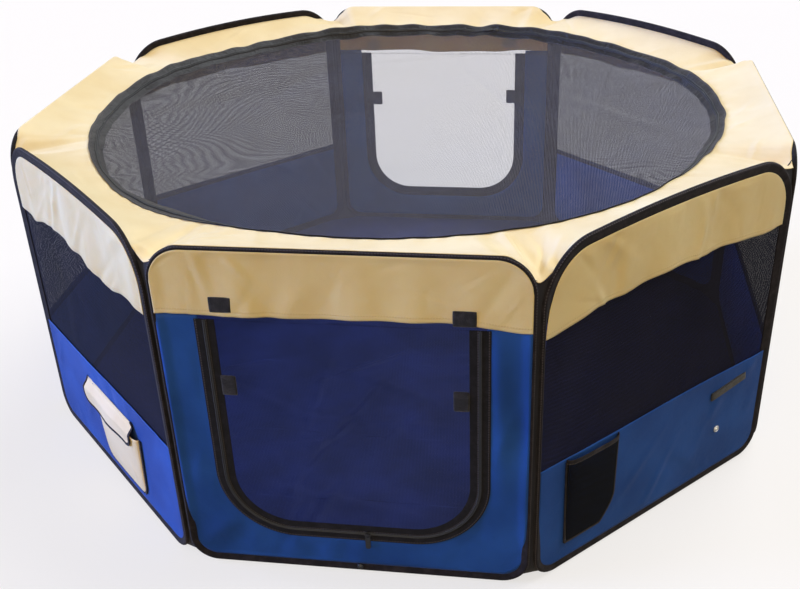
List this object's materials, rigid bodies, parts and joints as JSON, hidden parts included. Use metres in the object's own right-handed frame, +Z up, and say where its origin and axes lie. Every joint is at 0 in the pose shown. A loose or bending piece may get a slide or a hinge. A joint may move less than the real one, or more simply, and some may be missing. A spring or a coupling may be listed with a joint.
{
  "type": "soft-sided pet playpen",
  "caption": "Octagonal folding pet playpen: wire-loop walls of cloth and net, gathering net doors in zips, pockets, sewn floor and a zipped net lid.",
  "frame": {"origin": "on the ground under the middle of the pen", "axes": "+Z up, the front door faces -Y, the pockets' walls lie to each side of it"},
  "size_m": [1.4092, 1.415, 0.6072],
  "materials": {
    "binding": "black woven tape over spring wire",
    "cream_cloth": "plain woven polyester, matt",
    "blue_cloth": "plain woven polyester, matt",
    "net": "knitted polyester net",
    "lid_net": "slack knitted polyester net",
    "zip_tape": "woven zip tape with coil teeth",
    "hook_and_loop": "fuzzy hook-and-loop tape",
    "zip_enamel": "black enamelled die casting",
    "bare_metal": "plated die casting"
  },
  "bodies": {
    "front": {"frame_front": "binding", "valance_front": "cream_cloth", "corner_strip_front": "binding", "surround_front": "blue_cloth", "zip_tape_front": "zip_tape"},
    "front_right": {"frame_front_right": "binding", "valance_front_right": "cream_cloth", "corner_strip_front_right": "binding", "window_front_right": "net", "band_front_right": "blue_cloth", "net_pocket": "net", "closure_patch": "hook_and_loop", "snap": "bare_metal"},
    "right": {"frame_right": "binding", "valance_right": "cream_cloth", "corner_strip_right": "binding", "window_right": "net", "band_right": "blue_cloth"},
    "back_right": {"frame_back_right": "binding", "valance_back_right": "cream_cloth", "corner_strip_back_right": "binding", "window_back_right": "net", "band_back_right": "blue_cloth"},
    "back": {"frame_back": "binding", "valance_back": "cream_cloth", "corner_strip_back": "binding", "surround_back": "blue_cloth", "zip_tape_back": "zip_tape", "floor_mat": "blue_cloth"},
    "back_left": {"frame_back_left": "binding", "valance_back_left": "cream_cloth", "corner_strip_back_left": "binding", "window_back_left": "net", "band_back_left": "blue_cloth"},
    "left": {"frame_left": "binding", "valance_left": "cream_cloth", "corner_strip_left": "binding", "window_left": "net", "band_left": "blue_cloth"},
    "front_left": {"frame_front_left": "binding", "valance_front_left": "cream_cloth", "corner_strip_front_left": "binding", "window_front_left": "net", "band_front_left": "blue_cloth", "bottle_pocket": "cream_cloth"},
    "top": {"top_ring": "cream_cloth", "lid_zip_tape": "zip_tape"},
    "lid": {"lid_net": "lid_net"},
    "lid_slider": {"lid_slider": "zip_enamel"},
    "door_upper_front": {"door_upper_front": "net"},
    "door_middle_front": {"door_middle_front": "net"},
    "door_lower_front": {"door_lower_front": "net"},
    "zip_slider_front": {"zip_slider_front": "zip_enamel"},
    "zip_pull_front": {"zip_pull_front": "zip_enamel"},
    "door_upper_back": {"door_upper_back": "net"},
    "door_middle_back": {"door_middle_back": "net"},
    "door_lower_back": {"door_lower_back": "net"},
    "zip_slider_back": {"zip_slider_back": "zip_enamel"},
    "zip_pull_back": {"zip_pull_back": "zip_enamel"},
    "bottle_flap": {"bottle_flap": "cream_cloth"}
  },
  "joints": [
    {"name": "fold", "type": "hinge", "parent": "back", "child": "back_left", "pos_m": [-0.28772, 0.69462, 0], "axis": [0, 0, 1], "range_deg": [0, 135], "deforming": ["corner_strip_back"]},
    {"name": "seam_back_left", "type": "hinge", "parent": "back_left", "child": "left", "pos_m": [-0.70812, 0.29331, 0], "axis": [0, 0, 1], "range_deg": [-225, 0], "deforming": ["corner_strip_back_left"]},
    {"name": "seam_left", "type": "hinge", "parent": "left", "child": "front_left", "pos_m": [-0.69462, -0.28772, 0], "axis": [0, 0, 1], "range_deg": [0, 135], "deforming": ["corner_strip_left", "corner_strip_front_left"]},
    {"name": "seam_back_right", "type": "hinge", "parent": "back", "child": "back_right", "pos_m": [0.29, 0.70012, 0], "axis": [0, 0, 1], "range_deg": [0, 45], "deforming": ["corner_strip_back_right"]},
    {"name": "seam_right", "type": "hinge", "parent": "back_right", "child": "right", "pos_m": [0.69462, 0.28772, 0], "axis": [0, 0, 1], "range_deg": [-135, 0], "deforming": ["corner_strip_right"]},
    {"name": "seam_front_right", "type": "hinge", "parent": "right", "child": "front_right", "pos_m": [0.70812, -0.29331, 0], "axis": [0, 0, 1], "range_deg": [0, 225], "deforming": ["corner_strip_front_right"]},
    {"name": "seam_front", "type": "hinge", "parent": "front_right", "child": "front", "pos_m": [0.28772, -0.69462, 0], "axis": [0, 0, 1], "range_deg": [-135, 0], "deforming": ["corner_strip_front"]},
    {"name": "top_gather", "type": "slide", "parent": "back", "child": "top", "axis": [0.9596, 0.2813, 0], "range_m": [0, 0.3023]},
    {"name": "lid_lift", "type": "hinge", "parent": "top", "child": "lid", "pos_m": [0, 0.601, 0.6021], "axis": [-1, 0, 0], "range_deg": [0, 100]},
    {"name": "lid_zip", "type": "hinge", "parent": "top", "child": "lid_slider", "pos_m": [0, 0, 0.6009], "axis": [0, 0, -1], "range_deg": [0, 332]},
    {"name": "door_roll_front", "type": "hinge", "parent": "front", "child": "door_upper_front", "pos_m": [0, -0.70312, 0.4795], "axis": [-1, 0, 0], "range_deg": [0, 150]},
    {"name": "door_pleat_front", "type": "hinge", "parent": "door_upper_front", "child": "door_middle_front", "pos_m": [0, -0.69712, 0.34753], "axis": [-1, 0, 0], "range_deg": [-175, 0]},
    {"name": "door_hem_front", "type": "hinge", "parent": "door_middle_front", "child": "door_lower_front", "pos_m": [0, -0.70312, 0.21557], "axis": [-1, 0, 0], "range_deg": [0, 170]},
    {"name": "door_zip_front", "type": "slide", "parent": "front", "child": "zip_slider_front", "axis": [1, 0, 0], "range_m": [-0.11, 0.07]},
    {"name": "door_pull_front", "type": "hinge", "parent": "zip_slider_front", "child": "zip_pull_front", "pos_m": [0.022, -0.70537, 0.083], "axis": [-1, 0, 0], "range_deg": [0, 120]},
    {"name": "door_roll_back", "type": "hinge", "parent": "back", "child": "door_upper_back", "pos_m": [0, 0.70312, 0.4795], "axis": [1, 0, 0], "range_deg": [0, 150]},
    {"name": "door_pleat_back", "type": "hinge", "parent": "door_upper_back", "child": "door_middle_back", "pos_m": [0, 0.69712, 0.34753], "axis": [1, 0, 0], "range_deg": [-175, 0]},
    {"name": "door_hem_back", "type": "hinge", "parent": "door_middle_back", "child": "door_lower_back", "pos_m": [0, 0.70312, 0.21557], "axis": [1, 0, 0], "range_deg": [0, 170]},
    {"name": "door_zip_back", "type": "slide", "parent": "back", "child": "zip_slider_back", "axis": [-1, 0, 0], "range_m": [-0.11, 0.07]},
    {"name": "door_pull_back", "type": "hinge", "parent": "zip_slider_back", "child": "zip_pull_back", "pos_m": [-0.022, 0.70537, 0.083], "axis": [1, 0, 0], "range_deg": [0, 120]},
    {"name": "bottle_flap_lift", "type": "hinge", "parent": "front_left", "child": "bottle_flap", "pos_m": [-0.4847, -0.50945, 0.186], "axis": [-0.7071, 0.7071, 0], "range_deg": [0, 140]}
  ],
  "couplings": [
    {"joint": "seam_back_left", "follows": "fold", "ratio": -1.6667},
    {"joint": "seam_left", "follows": "fold", "ratio": 1},
    {"joint": "seam_back_right", "follows": "fold", "ratio": 0.33333},
    {"joint": "seam_right", "follows": "fold", "ratio": -1},
    {"joint": "seam_front_right", "follows": "fold", "ratio": 1.6667},
    {"joint": "seam_front", "follows": "fold", "ratio": -1},
    {"joint": "top_gather", "follows": "fold", "m_per_rad": 0.12825},
    {"joint": "door_pleat_front", "follows": "door_roll_front", "ratio": -1.1667},
    {"joint": "door_hem_front", "follows": "door_roll_front", "ratio": 1.1333},
    {"joint": "door_pleat_back", "follows": "door_roll_back", "ratio": -1.1667},
    {"joint": "door_hem_back", "follows": "door_roll_back", "ratio": 1.1333}
  ]
}
